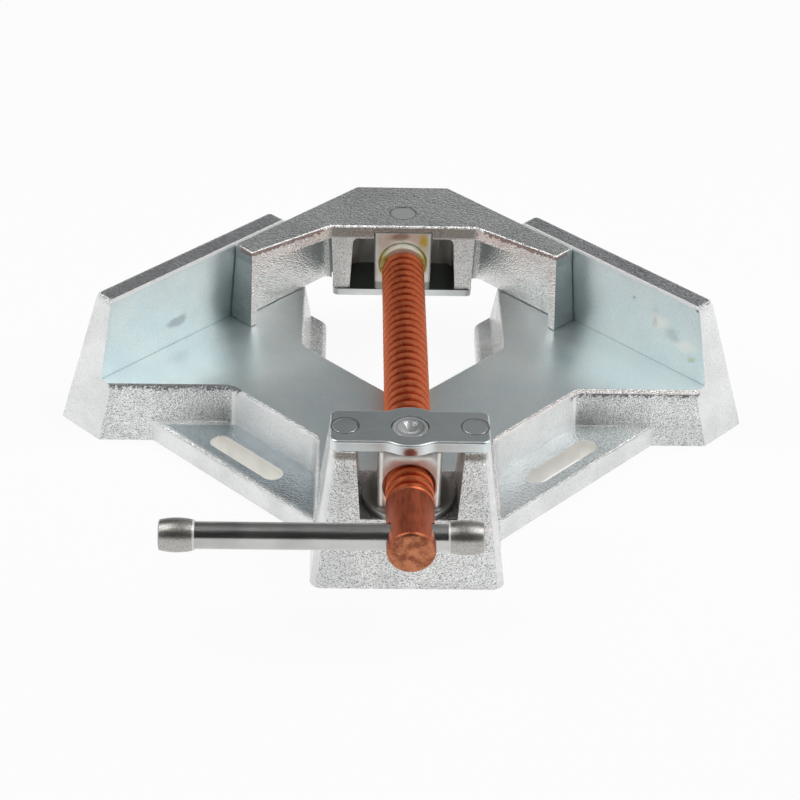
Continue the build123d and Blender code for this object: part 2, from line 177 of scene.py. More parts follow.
# Marks on the clamping faces, in millimetres: place across, height, half length, half height,
# strength and tone
GREY_MARK = colour(0.30, 0.34, 0.36)
PALE_MARK = colour(0.95, 0.91, 0.85)
BROWN_MARK = colour(0.44, 0.42, 0.39)
GREEN_MARK = colour(0.48, 0.58, 0.30)
DARK_MARK = colour(0.02, 0.02, 0.02)
MARKS = [(-96.8, 36.9, 7.0, 3.0, 0.6, GREY_MARK),
         (-122.0, 60.6, 1.3, 1.2, 1.0, DARK_MARK),
         (121.0, 60.4, 1.3, 1.2, 1.0, DARK_MARK),
         (97.4, 52.2, 1.2, 1.0, 0.7, GREY_MARK),
         (107.5, 46.0, 6.0, 6.0, 0.6, PALE_MARK),
         (106.0, 46.0, 3.0, 6.5, 0.4, BROWN_MARK),
         (113.0, 42.5, 5.0, 4.5, 0.4, BROWN_MARK),
         (117.5, 40.0, 7.5, 5.0, 0.6, PALE_MARK),
         (120.9, 35.9, 2.6, 2.8, 0.6, GREEN_MARK)]

# Where the screw's plating has rubbed off on the bridge, and a brownish patch and grease on the thrust
# block, with the half size of each
RUB_PLACE = Vector((0, bridge_low.y, bridge_low.z + 1.0 * MM))
RUB_SIZE = (3.0 * MM, 1.5 * MM, 2.6 * MM)
BROWN_PATCH_PLACE = Vector((-1.0 * MM, block_low.y, block_high.z - 4.5 * MM))
BROWN_PATCH_SIZE = (6.5 * MM, 1.0 * MM, 2.2 * MM)
GREASE_PLACE = Vector((9.0 * MM, block_low.y, block_high.z - 6.0 * MM))
GREASE_SIZE = (3.0 * MM, 1.5 * MM, 5.0 * MM)

# Camera, fitted to the photograph
CAMERA_PLACE = Vector((-26.34, -719.62, 561.67)) * MM
CAMERA_YAW = math.radians(-1.7606)
CAMERA_PITCH = math.radians(34.031)
CAMERA_ROLL = math.radians(1.654)
CAMERA_LENS = 103.776
SENSOR_WIDTH = 36.0

# Studio: a white sheet, bright sides, and darker air in front, behind and above
FLOOR_SIZE = 3.0
FLOOR_WHITE = 0.92
PAPER_TONE = colour(0.9, 0.9, 0.9)
HORIZON_BOTTOM = math.sin(math.radians(10))
HORIZON_TOP = math.sin(math.radians(12))
LEFT_LIGHT = 0.38
RIGHT_LIGHT = 0.60
BACK_LEFT_LIGHT = 0.09
BACK_RIGHT_LIGHT = 0.34
FRONT_LIGHT = 0.04
LAMP_PLACE = (0.66, 0.08, 1.06)
LAMP_AIM = (0, 0.08, 0)
LAMP_SIZE = 0.9
LEFT_WATTS = 5.6
RIGHT_WATTS = 5.9


# Node helpers

class Nodes:
    """A material's or world's node tree, with short calls to add and join nodes."""

    def __init__(self, tree):
        self.tree = tree
        self.tree.nodes.clear()

    def add(self, kind, inputs=None, **settings):
        node = self.tree.nodes.new(kind)
        for name, value in settings.items():
            setattr(node, name, value)
        for name, value in (inputs or {}).items():
            self.feed(node.inputs[name], value)
        return node

    def feed(self, socket, value):
        """Joins another node's output to the socket, or sets its plain value."""
        if isinstance(value, bpy.types.NodeSocket):
            self.tree.links.new(value, socket)
        else:
            socket.default_value = value

    def math(self, operation, first, second=0.0):
        return self.add("ShaderNodeMath", {0: first, 1: second}, operation=operation).outputs[0]

    def product(self, first, *others):
        """All these values multiplied together."""
        for value in others:
            first = self.math("MULTIPLY", first, value)
        return first

    def absolute(self, value):
        return self.math("ABSOLUTE", value)

    def place(self):
        """The point on the object, as it lies at rest."""
        return self.add("ShaderNodeTexCoord").outputs["Object"]

    def axis(self, vector, name):
        return self.add("ShaderNodeSeparateXYZ", {0: vector}).outputs[name]

    def along(self, name):
        """How far a point lies along one of the clamp's axes."""
        return self.axis(self.place(), name)

    def facing(self, name):
        """How much the surface faces along one of the clamp's axes, from -1 to 1."""
        return self.axis(self.add("ShaderNodeTexCoord").outputs["Normal"], name)

    def across(self):
        """How far a point lies from the clamp's middle plane."""
        return self.absolute(self.along("X"))

    def beyond_apex(self):
        """How far a point lies behind the clamping faces, along Y."""
        total = self.math("ADD", self.across(), self.along("Y"))
        return self.math("SUBTRACT", total, APEX_Y)

    def beyond_neck(self):
        """How far a point lies out from the neck's slanting sides, at right angles to them."""
        total = self.math("SUBTRACT", self.across(), self.along("Y"))
        outward = self.math("SUBTRACT", total, NECK_END - DECK_FRONT)
        return self.math("MULTIPLY", outward, math.sqrt(0.5))

    def stretched(self, vector, x, y, z):
        return self.add("ShaderNodeMapping", {"Vector": vector, "Scale": (x, y, z)}).outputs[0]

    def offset(self, centre):
        """From centre to the point on the object."""
        node = self.add("ShaderNodeVectorMath", {0: self.place(), 1: centre}, operation="SUBTRACT")
        return node.outputs[0]

    def length(self, vector):
        return self.add("ShaderNodeVectorMath", {0: vector}, operation="LENGTH").outputs["Value"]

    def from_upright(self, centre):
        """How far a point lies from an upright line through centre."""
        return self.length(self.stretched(self.offset(centre), 1.0, 1.0, 0.0))

    def noise(self, size, detail=2.0, roughness=0.5, vector=None):
        """Noise from 0 to 1 whose lumps are about this many metres across."""
        values = {"Vector": vector or self.place(), "Scale": 1.0 / size, "Detail": detail,
                  "Roughness": roughness}
        return self.add("ShaderNodeTexNoise", values).outputs["Fac"]

    def ramp(self, value, low, high, start=0.0, end=1.0):
        """Takes value from low..high to start..end, smoothly, and holds it beyond."""
        values = {"Value": value, "From Min": low, "From Max": high, "To Min": start, "To Max": end}
        return self.add("ShaderNodeMapRange", values, interpolation_type="SMOOTHSTEP").outputs[0]

    def over(self, value, edge, fade=FADE):
        """0 up to the edge, and 1 from a fade beyond it."""
        return self.ramp(value, edge, edge + fade)

    def under(self, value, edge, fade=FADE):
        """1 up to the edge, and 0 from a fade beyond it."""
        return self.ramp(value, edge, edge + fade, 1.0, 0.0)

    def spread(self, noise, least, most):
        """Noise, spread from least to most."""
        return self.ramp(noise, NOISE_LOW, NOISE_HIGH, least, most)

    def mix(self, factor, first, second):
        """Goes from the first colour to the second as factor goes from 0 to 1."""
        node = self.add("ShaderNodeMix", data_type="RGBA")
        for name, value in (("Factor_Float", factor), ("A_Color", first), ("B_Color", second)):
            self.feed(next(s for s in node.inputs if s.identifier == name), value)
        return next(s for s in node.outputs if s.identifier == "Result_Color")

    def spot(self, centre, size):
        """1 at the centre and 0 outside, with a ragged edge. size is the half size along each axis."""
        scaled = self.stretched(self.offset(centre), *[1.0 / length for length in size])
        ragged = self.spread(self.noise(max(size), detail=3.0), -SPOT_RAGGED, SPOT_RAGGED)
        edge = self.math("ADD", self.length(scaled), ragged)
        return self.ramp(edge, 0.2, 1.0, 1.0, 0.0)

    def bump(self, height, distance, strength, normal=None):
        values = {"Height": height, "Distance": distance, "Strength": strength}
        if normal is not None:
            values["Normal"] = normal
        return self.add("ShaderNodeBump", values).outputs[0]


def material(name, base, roughness, metallic=1.0, normal=None):
    """A material from functions of its nodes. metallic is such a function too, or one number."""
    made = bpy.data.materials.new(name)
    made.use_nodes = True
    tree = Nodes(made.node_tree)
    shader = tree.add("ShaderNodeBsdfPrincipled")
    tree.feed(shader.inputs["Base Color"], base(tree))
    tree.feed(shader.inputs["Roughness"], roughness(tree))
    tree.feed(shader.inputs["Metallic"], metallic(tree) if callable(metallic) else metallic)
    if normal is not None:
        tree.feed(shader.inputs["Normal"], normal(tree))
    output = tree.add("ShaderNodeOutputMaterial")
    tree.feed(output.inputs["Surface"], shader.outputs[0])
    return made


# Where the castings' tones lie: each is 1 on its part of the surface and 0 elsewhere

def level_tops(tree):
    return tree.ramp(tree.facing("Z"), 0.9, 0.98)


def end_faces(tree):
    """The faces that look out to the sides, but not back."""
    side = tree.math("SIGN", tree.along("X"))
    outward = tree.math("MULTIPLY", side, tree.facing("X"))
    forward = tree.ramp(tree.facing("Y"), 0.1, 0.3, 1.0, 0.0)
    return tree.math("MULTIPLY", tree.ramp(outward, 0.4, 0.6), forward)


def flange_flats(tree):
    """The flat of the low flanges, inside their pale edges, where shade is painted."""
    low = tree.under(tree.along("Z"), FLANGE_TOP, 2.0 * MM)
    edge = tree.under(tree.beyond_neck(), FLANGE_WIDTH - FLANGE_RIM - 1.5 * MM, 1.5 * MM)
    rear = tree.under(tree.along("Y"), DECK_FRONT - 2 * FLANGE_RIM - 0.5 * MM, 1.5 * MM)
    return tree.product(low, edge, rear, level_tops(tree))


def slot_walls(tree):
    """The matt insides of the flanges' slots."""
    low = tree.under(tree.along("Z"), FLANGE_TOP - 0.6 * MM, 0.3 * MM)
    upright = tree.ramp(tree.absolute(tree.facing("Z")), 0.4, 0.6, 1.0, 0.0)
    inner = tree.over(tree.beyond_neck(), FLANGE_RIM)
    outer = tree.under(tree.beyond_neck(), FLANGE_WIDTH - FLANGE_RIM - FADE)
    rear = tree.under(tree.along("Y"), DECK_FRONT - 2 * FLANGE_RIM)
    aside = tree.over(tree.across(), SLOT_START)
    return tree.product(low, upright, inner, outer, rear, aside)


def corner_shade(tree):
    """The shaded foot of the wings' front beside the neck."""
    low = tree.ramp(tree.along("Z"), FLANGE_TOP + 1.0 * MM, DECK_TOP - 4.0 * MM, 1.0, 0.15)
    near = tree.under(tree.across(), NECK_END, CORNER_REACH)
    wing = tree.over(tree.along("Y"), DECK_FRONT - 5.0 * MM)
    above = tree.over(tree.along("Z"), FLANGE_TOP + 0.1 * MM, 0.3 * MM)
    forward = tree.ramp(tree.facing("Y"), -0.95, -0.8, 1.0, 0.0)
    return tree.product(low, near, wing, above, forward)


def high_tops(tree):
    """The level tops above the deck, but for the edge along the clamping faces."""
    off_edge = tree.over(tree.absolute(tree.beyond_apex()), 0.8 * MM)
    high = tree.ramp(tree.along("Z"), DECK_TOP, DECK_TOP + 5.0 * MM, 0.1, 1.0)
    return tree.product(level_tops(tree), off_edge, high)


def worn_edge_highlight(tree):
    """The worn edge along the top of the clamping faces, with a painted highlight on it."""
    near = tree.under(tree.absolute(tree.beyond_apex()), 1.1 * MM, 0.5 * MM)
    high = tree.over(tree.along("Z"), WALL_TOP - 1.4 * MM, 0.4 * MM)
    return tree.math("MULTIPLY", near, high)


def deck_front(tree):
    """What lies below the deck and before its front edge."""
    below = tree.under(tree.along("Z"), DECK_TOP, 0.2 * MM)
    before = tree.under(tree.along("Y"), DECK_FRONT + 1.0 * MM)
    return tree.math("MULTIPLY", below, before)


def front_rim_highlight(tree):
    """The painted highlight on the deck front's rounded edge, on the right only."""
    right = tree.over(tree.along("X"), 0.0, SIDE_FADE)
    high = tree.over(tree.along("Z"), DECK_TOP - 1.6 * MM, 0.3 * MM)
    return tree.product(right, high, deck_front(tree))


def front_edge_shade(tree):
    """The broken line of painted shade along the deck's front edge, a little lower on the right."""
    wave = tree.spread(tree.noise(1.2 * MM, detail=4.0, roughness=0.7), -1.6 * MM, 1.6 * MM)
    lower = tree.ramp(tree.along("X"), 0.0, SIDE_FADE, 0.0, 1.1 * MM)
    height = tree.math("ADD", tree.math("ADD", tree.along("Z"), wave), lower)
    high = tree.ramp(height, DECK_TOP - 1.9 * MM, DECK_TOP - 0.9 * MM, 0.0, 0.85)
    wings = tree.over(tree.along("Y"), DECK_FRONT - 4.0 * MM)
    return tree.product(high, wings, deck_front(tree))


def arm_rim(tree):
    """The brownish edge under the top of the jaw's arms."""
    wave = tree.spread(tree.noise(1.5 * MM, detail=3.0), -0.7 * MM, 0.7 * MM)
    height = tree.math("ADD", tree.along("Z"), wave)
    high = tree.over(height, JAW_TOP - 2.4 * MM, 0.6 * MM)
    arm = tree.over(tree.across(), ARM_START, 2.0 * MM)
    upright = tree.ramp(tree.facing("Z"), 0.6, 0.8, 0.85, 0.0)
    inner = tree.under(tree.beyond_apex(), -6.0 * MM)
    return tree.product(high, arm, upright, inner)


def middle_strip(tree):
    """The browner strip over the jaw's pocket."""
    high = tree.over(tree.along("Z"), JAW_TOP - 6.5 * MM, 1.5 * MM)
    below_edge = tree.under(tree.along("Z"), JAW_TOP - 1.2 * MM, 0.4 * MM)
    middle = tree.under(tree.across(), ARM_START - 4.0 * MM, 4.0 * MM)
    ahead = tree.under(tree.along("Y"), JAW_FRONT + 1.0 * MM)
    forward = tree.ramp(tree.facing("Y"), -0.9, -0.6, 1.0, 0.0)
    return tree.product(high, below_edge, middle, ahead, forward)


def pocket(tree):
    """The inside of the jaw's pocket."""
    inside = tree.under(tree.across(), POCKET_HALF)
    behind = tree.over(tree.along("Y"), JAW_FRONT + 4.0 * MM)
    below = tree.under(tree.along("Z"), JAW_TOP - 3.0 * MM)
    return tree.product(inside, behind, below)


def pin_and_gap_shade(tree):
    """The end of the thrust block's pin, darkened, and the painted shade in the gap round it, in the jaw's
    top.
    """
    return tree.under(tree.from_upright(PIN_PLACE), PIN_RADIUS + 0.4 * MM, 0.4 * MM)


def smooth_faces(tree):
    """The ends, the pocket, and the tops that lie below the deck."""
    low = tree.under(tree.along("Z"), DECK_TOP - 2.0 * MM)
    low_tops = tree.math("MULTIPLY", level_tops(tree), low)
    return tree.math("MAXIMUM", tree.math("MAXIMUM", end_faces(tree), low_tops), pocket(tree))


def grain(tree):
    """The casting skin's grain, coarser on tops."""
    fine = tree.noise(FINE_GRAIN, detail=1.0)
    coarse = tree.noise(COARSE_GRAIN, detail=2.0)
    change = tree.math("MULTIPLY", tree.math("SUBTRACT", coarse, fine), level_tops(tree))
    return tree.math("ADD", fine, change)


# Materials

def cast_zinc(name, plain, ends, tops, front_grain):
    """Zinc plating over a casting's grainy skin: plain in front, with painted light and shade on its ends
    and tops, and more painted shade and highlights laid over.
    """

    def grain_share(tree):
        """How much grain shows: less on high tops and smooth faces, and none in the slots."""
        high = tree.over(tree.along("Z"), WALL_TOP - 2.0 * MM)
        high_top = tree.math("MULTIPLY", high, level_tops(tree))
        rough = tree.ramp(high_top, 0.0, 1.0, front_grain, 0.7)
        smooth = tree.ramp(smooth_faces(tree), 0.0, 1.0, 1.0, 0.4)
        off_slots = tree.math("SUBTRACT", 1.0, slot_walls(tree))
        return tree.product(rough, smooth, off_slots)

    def base(tree):
        # Painted shade on the flanges' flats, much darker on the left
        right = tree.ramp(tree.along("X"), -SIDE_FADE / 2, SIDE_FADE / 2)
        flange = tree.mix(right, LEFT_FLANGE_SHADE_TONE, RIGHT_FLANGE_SHADE_TONE)
        cloud = tree.ramp(tree.noise(22.0 * MM, detail=3.0), 0.35, 0.65, 0.86, 1.0)
        # The ends and high tops get painted light and shade: lighter ends on the base, darker ends on the
        # jaw, darker tops on both
        shade = tree.mix(end_faces(tree), plain, ends)
        shade = tree.mix(high_tops(tree), shade, tops)
        shade = tree.mix(flange_flats(tree), shade, flange)
        shade = tree.mix(slot_walls(tree), shade, SLOT_TONE)
        shade = tree.mix(tree.product(corner_shade(tree), 0.65), shade, CORNER_TONE)
        shade = tree.mix(cloud, BLACK, shade)
        # Painted highlight, with wear, along the top edge of the clamping faces
        shade = tree.mix(worn_edge_highlight(tree), shade, WORN_HIGHLIGHT_TONE)
        shade = tree.mix(arm_rim(tree), shade, ARM_RIM_TONE)
        shade = tree.mix(tree.product(middle_strip(tree), 0.85), shade, STRIP_TONE)
        # Darkens the pin's end, and paints shade into the gap round it
        shade = tree.mix(tree.product(pin_and_gap_shade(tree), 0.75), shade, GAP_SHADE_TONE)
        # Painted shade along the deck's front edge
        shade = tree.mix(front_edge_shade(tree), shade, FRONT_EDGE_SHADE_TONE)
        # Painted highlight on the deck's rounded front edge, right side only
        shade = tree.mix(front_rim_highlight(tree), shade, FRONT_RIM_HIGHLIGHT_TONE)
        # Painted shade in the grain's pits
        pit_shade = tree.mix(0.65, shade, PIT_SHADE_TONE)
        depth = tree.ramp(grain(tree), 0.30, 0.46, 0.7, 0.0)
        return tree.mix(tree.product(depth, grain_share(tree)), shade, pit_shade)

    def roughness(tree):
        skin = tree.spread(tree.noise(4.0 * MM, detail=3.0), 0.20, 0.16)
        return tree.math("ADD", skin, tree.product(slot_walls(tree), 0.5))

    def metallic(tree):
        plated = tree.ramp(end_faces(tree), 0.0, 1.0, 0.75, 0.45)
        # Less metal in the pocket, and on the worn edge so that its painted highlight shows pale
        pale = tree.math("MAXIMUM", worn_edge_highlight(tree), pocket(tree))
        return tree.math("MULTIPLY", plated, tree.ramp(pale, 0.0, 1.0, 1.0, 0.3))

    def normal(tree):
        lumps = tree.bump(tree.noise(6.0 * MM), 0.5 * MM, 0.4)
        return tree.bump(grain(tree), 1.0 * MM, grain_share(tree), lumps)

    return material(name, base, roughness, metallic, normal)


def machined_zinc():
    """Zinc plating over a milled face: smooth and pale, with painted shade along the deck's inside corner, a
    painted highlight on the worn top edge, and handling marks.
    """

    def worn(tree):
        """The worn edge at the top of the clamping faces, with a painted highlight on it."""
        return tree.over(tree.along("Z"), WALL_TOP - 1.3 * MM, 0.4 * MM)

    def deck_corner_shade(tree):
        """Painted shade along the line where the deck meets the walls."""
        height = tree.math("SUBTRACT", tree.along("Z"), DECK_TOP)
        away = tree.math("MAXIMUM", tree.math("MULTIPLY", tree.beyond_apex(), -1.0), height)
        return tree.ramp(away, 0.2 * MM, 0.6 * MM, 0.32, 0.0)

    def marked(tree, shade):
        """The shade with the marks of handling laid over it."""
        for x, z, length, height, strength, tone in MARKS:
            centre = Vector((x * MM, APEX_Y - abs(x) * MM, z * MM))
            there = tree.spot(centre, (length * MM, length * MM, height * MM))
            shade = tree.mix(tree.product(there, strength), shade, tone)
        return shade

    def base(tree):
        cloud = tree.ramp(tree.noise(16.0 * MM, detail=5.0, roughness=0.6), 0.35, 0.65)
        specks = tree.ramp(tree.noise(FINE_GRAIN, detail=1.0), 0.3, 0.6, 0.9, 1.0)
        shade = tree.mix(cloud, colour(0.73, 0.83, 0.85), colour(0.79, 0.86, 0.86))
        shade = tree.mix(specks, BLACK, shade)
        # Painted shade in the corner between the deck and the walls
        shade = tree.mix(deck_corner_shade(tree), shade, DECK_CORNER_SHADE_TONE)
        # Painted highlight, with wear, along the top edge
        return tree.mix(worn(tree), marked(tree, shade), WORN_HIGHLIGHT_TONE)

    def roughness(tree):
        return tree.spread(tree.noise(9.0 * MM, detail=3.0), 0.29, 0.35)

    def metallic(tree):
        # Less metal on the worn edge, so that its painted highlight shows pale
        return tree.ramp(worn(tree), 0.0, 1.0, 0.8, 0.2)

    def normal(tree):
        return tree.bump(tree.noise(0.8 * MM), 0.05 * MM, 0.5)

    return material("machined_zinc", base, roughness, metallic, normal)


def plate_zinc():
    """Zinc plating on sheet and small steel pieces, with painted shade on its tops and a ring of painted
    highlight and shade at the bridge's rivets.
    """

    def off_rivet(tree):
        """How far a point lies outside the rim of a bridge rivet."""
        aside = tree.math("SUBTRACT", tree.across(), RIVET_ACROSS)
        square = tree.math("ADD", tree.math("MULTIPLY", aside, aside),
                           tree.math("MULTIPLY", tree.along("Y"), tree.along("Y")))
        return tree.math("SUBTRACT", tree.math("SQRT", square), RIVET_RADIUS)

    def rivet_line(tree, first, last):
        """A line round each rivet, from first to last outside its rim."""
        inner = tree.over(off_rivet(tree), first - 0.1 * MM, 0.2 * MM)
        outer = tree.under(off_rivet(tree), last - 0.1 * MM, 0.2 * MM)
        high = tree.over(tree.along("Z"), bridge_low.z + 1.0 * MM)
        return tree.product(inner, outer, high)

    def base(tree):
        cloud = tree.spread(tree.noise(12.0 * MM, detail=4.0, roughness=0.6), 0.0, 1.0)
        keeper = tree.ramp(tree.along("Z"), KEEPER_TOP + 0.5 * MM, KEEPER_TOP + 1.0 * MM, 0.9, 0.0)
        rivet_rim_highlight = rivet_line(tree, -0.55 * MM, 0.0)
        rivet_foot_shade = rivet_line(tree, 0.0, 0.45 * MM)
        rub = tree.spot(RUB_PLACE, RUB_SIZE)
        shade = tree.mix(cloud, colour(0.70, 0.75, 0.76), colour(0.82, 0.85, 0.84))
        # Painted shade on the level tops
        shade = tree.mix(tree.product(level_tops(tree), 0.6), shade, colour(0.44, 0.49, 0.51))
        # Deeper painted shade on the keeper's top, down in the jaw's pocket
        shade = tree.mix(tree.product(level_tops(tree), keeper), shade, colour(0.10, 0.13, 0.12))
        # Painted highlight just inside each rivet's rim, and painted shade just outside it
        shade = tree.mix(tree.product(rivet_rim_highlight, 0.9), shade, colour(0.98, 0.98, 0.98))
        shade = tree.mix(tree.product(rivet_foot_shade, 0.8), shade, colour(0.06, 0.07, 0.07))
        return tree.mix(tree.product(rub, 0.8), shade, colour(0.36, 0.12, 0.08))

    def roughness(tree):
        lines = tree.noise(2.5 * MM, detail=3.0, vector=tree.stretched(tree.place(), 1.0, 6.0, 6.0))
        return tree.spread(lines, 0.30, 0.40)

    def normal(tree):
        return tree.bump(tree.noise(1.6 * MM, detail=3.0), 0.05 * MM, 0.3)

    return material("plate_zinc", base, roughness, normal=normal)


def nut_zinc():
    """Warmer plating on the forged nut and the thrust block, and greyer on the nut's pin."""

    def pin_end(tree):
        return tree.over(tree.along("Z"), bridge_low.z)

    def turned_ring_shade(tree):
        """A faint line of painted shade where the turning left a ring round the nut's punch mark."""
        away = tree.from_upright(Vector((0, 0, 0)))
        off_line = tree.absolute(tree.math("SUBTRACT", away, TURNED_RADIUS))
        return tree.ramp(off_line, 0.1 * MM, 0.5 * MM, 0.5, 0.0)

    def foot(tree):
        """The nut's round foot, which gets painted shade."""
        return tree.under(tree.along("Z"), FOOT_TOP + 0.2 * MM, 1.3 * MM)

    def base(tree):
        cloud = tree.ramp(tree.noise(8.0 * MM, detail=4.0, roughness=0.6), 0.35, 0.65)
        brown_patch = tree.spot(BROWN_PATCH_PLACE, BROWN_PATCH_SIZE)
        grease = tree.spot(GREASE_PLACE, GREASE_SIZE)
        shade = tree.mix(cloud, colour(0.80, 0.77, 0.71), colour(0.92, 0.91, 0.88))
        # Painted shade on the nut's foot, low in the yoke
        shade = tree.mix(tree.product(foot(tree), 0.85), shade, colour(0.30, 0.32, 0.30))
        shade = tree.mix(tree.product(brown_patch, 0.6), shade, colour(0.30, 0.20, 0.13))
        shade = tree.mix(tree.product(grease, 0.9), shade, colour(0.72, 0.58, 0.04))
        shade = tree.mix(pin_end(tree), shade, colour(0.74, 0.76, 0.76))
        # Painted shade of the turned ring on the pin's end
        return tree.mix(tree.product(pin_end(tree), turned_ring_shade(tree)), shade, colour(0.20, 0.21, 0.22))

    def roughness(tree):
        """Smoother on the turned end of the pin."""
        plain = tree.spread(tree.noise(5.0 * MM, detail=3.0), 0.48, 0.38)
        return tree.math("SUBTRACT", plain, tree.product(pin_end(tree), 0.26))

    def normal(tree):
        return tree.bump(tree.noise(1.2 * MM), 0.06 * MM, 0.3)

    return material("nut_zinc", base, roughness, metallic=0.8, normal=normal)


def copper_plate():
    """Copper coloured plating, worn light on the crests with a painted highlight there, and painted shade in
    the grooves.
    """

    def streaks(tree):
        return tree.noise(1.5 * MM, detail=4.0, roughness=0.65,
                          vector=tree.stretched(tree.place(), 1.0, 0.3, 1.0))

    def off_axis(tree):
        """How far a point lies from the screw's axis."""
        high = tree.math("SUBTRACT", tree.along("Z"), SCREW_AXIS)
        square = tree.math("ADD", tree.math("MULTIPLY", tree.along("X"), tree.along("X")),
                           tree.math("MULTIPLY", high, high))
        return tree.math("SQRT", square)

    def head_end(tree):
        """The bare mottled face at the end of the head."""
        mottle = tree.ramp(tree.noise(4.0 * MM, detail=5.0, roughness=0.7), 0.38, 0.62)
        return tree.mix(mottle, colour(0.26, 0.08, 0.04), colour(0.56, 0.22, 0.11))

    def base(tree):
        threaded = tree.over(tree.along("Y"), THREAD_START)
        crest = tree.over(off_axis(tree), SCREW_RADIUS - 0.8 * MM, 0.7 * MM)
        groove = tree.ramp(off_axis(tree), SCREW_RADIUS - THREAD_DEPTH, SCREW_RADIUS - 0.6 * MM, 1.0, 0.0)
        brown = tree.ramp(tree.along("Y"), THREAD_START, THREAD_START + 3.0 * MM, 0.45, 0.0)
        end = tree.under(tree.along("Y"), screw_low.y, END_ROUND)
        streak = tree.spread(streaks(tree), 0.0, 1.0)
        shade = tree.mix(streak, colour(0.42, 0.055, 0.018), colour(0.62, 0.115, 0.045))
        # Painted highlight, with wear, on the thread's crests
        shade = tree.mix(tree.product(crest, threaded, 0.6), shade, colour(0.86, 0.24, 0.09))
        shade = tree.mix(brown, shade, colour(0.40, 0.15, 0.08))
        # Painted shade in the thread's grooves
        shade = tree.mix(tree.product(groove, threaded), shade, colour(0.36, 0.045, 0.015))
        return tree.mix(end, shade, head_end(tree))

    def roughness(tree):
        return tree.spread(streaks(tree), 0.34, 0.48)

    def normal(tree):
        return tree.bump(streaks(tree), 0.08 * MM, 0.4)

    return material("copper_plate", base, roughness, metallic=0.9, normal=normal)


def bar_steel():
    """Ground steel of the handle bar, with fine lines along it."""

    def lines(tree):
        return tree.noise(0.5 * MM, detail=3.0, vector=tree.stretched(tree.place(), 0.04, 1.0, 1.0))

    def base(tree):
        cloud = tree.spread(tree.noise(14.0 * MM, detail=4.0), 0.0, 1.0)
        return tree.mix(cloud, colour(0.48, 0.48, 0.47), colour(0.58, 0.58, 0.57))

    def roughness(tree):
        return tree.spread(lines(tree), 0.19, 0.26)

    def normal(tree):
        return tree.bump(lines(tree), 0.02 * MM, 0.2)

    return material("bar_steel", base, roughness, normal=normal)


def knob_steel(name, collar):
    """Satin steel of a knob, with a painted highlight line where its collar ends at this place across."""

    def off_line(tree):
        return tree.absolute(tree.math("SUBTRACT", tree.along("X"), collar))

    def grain_of_knob(tree):
        return tree.noise(0.7 * MM)

    def base(tree):
        fleck = tree.ramp(grain_of_knob(tree), 0.35, 0.6)
        shade = tree.mix(fleck, colour(0.38, 0.37, 0.35), colour(0.50, 0.49, 0.46))
        # Painted highlight along the collar's edge
        line = tree.ramp(off_line(tree), 0.6 * MM, 0.9 * MM, 0.8, 0.0)
        return tree.mix(line, shade, colour(0.97, 0.96, 0.93))

    def roughness(tree):
        """Varies in fine rings, as the turning left them."""
        rings = tree.noise(0.35 * MM, detail=3.0, vector=tree.stretched(tree.place(), 1.0, 0.05, 0.05))
        return tree.spread(rings, 0.29, 0.36)

    def metallic(tree):
        # Less metal on the collar's painted highlight, so that it shows pale
        return tree.ramp(off_line(tree), 0.6 * MM, 0.9 * MM, 0.3, 1.0)

    def normal(tree):
        return tree.bump(grain_of_knob(tree), 0.11 * MM, 0.6)

    return material(name, base, roughness, metallic, normal)


def greasy_yellow():
    """The thrust ring under a film of yellow grease, pale at the top, partly bare metal and partly a painted
    highlight.
    """

    def blotch(tree):
        return tree.noise(3.0 * MM, detail=4.0)

    def base(tree):
        grease = tree.ramp(blotch(tree), 0.4, 0.6)
        # Pale at the top: partly bare metal, partly a painted highlight
        bare_top_and_highlight = tree.ramp(tree.along("Z"), SCREW_AXIS + 5.0 * MM, SCREW_AXIS + 8.0 * MM, 0.0, 0.8)
        shade = tree.mix(grease, colour(0.62, 0.44, 0.03), colour(0.75, 0.68, 0.28))
        return tree.mix(bare_top_and_highlight, shade, colour(0.80, 0.80, 0.76))

    def roughness(tree):
        return tree.spread(blotch(tree), 0.25, 0.4)

    def normal(tree):
        return tree.bump(blotch(tree), 0.2 * MM, 0.5)

    return material("greasy_yellow", base, roughness, metallic=0.3, normal=normal)


# Meshes

def new_piece(name, mesh, finish):
    """Makes a shown object of a bmesh, smooth but for its sharp edges."""
    bmesh.ops.recalc_face_normals(mesh, faces=mesh.faces[:])
    data = bpy.data.meshes.new(name)
    mesh.to_mesh(data)
    mesh.free()
    data.materials.append(finish)
    data.shade_smooth()
    data.set_sharp_from_angle(angle=SHARP_ANGLE)
    piece = bpy.data.objects.new(name, data)
    bpy.context.scene.collection.objects.link(piece)
    return piece


def cut(piece, cutter):
    """Takes a cutter's shape out of a piece, and the cutter away."""
    boolean = piece.modifiers.new("cut", "BOOLEAN")
    boolean.operation = "DIFFERENCE"
    boolean.solver = "EXACT"
    boolean.object = cutter
    shaped = bpy.data.meshes.new_from_object(piece.evaluated_get(bpy.context.evaluated_depsgraph_get()))
    piece.modifiers.clear()
    old = piece.data
    piece.data = shaped
    bpy.data.meshes.remove(old)
    bpy.data.objects.remove(cutter)
    piece.data.set_sharp_from_angle(angle=SHARP_ANGLE)
    flat = piece.modifiers.new("flat", "WEIGHTED_NORMAL")
    flat.keep_sharp = True


def bored(piece, centre, radius, length):
    """Bores a hole along X through a piece."""
    mesh = bmesh.new()
    place = Matrix.Translation(centre) @ Matrix.Rotation(math.pi / 2, 4, "Y")
    bmesh.ops.create_cone(mesh, cap_ends=True, segments=HOLE_STEPS, radius1=radius, radius2=radius,
                          depth=length, matrix=place)
    cut(piece, new_piece("cutter", mesh, piece.data.materials[0]))


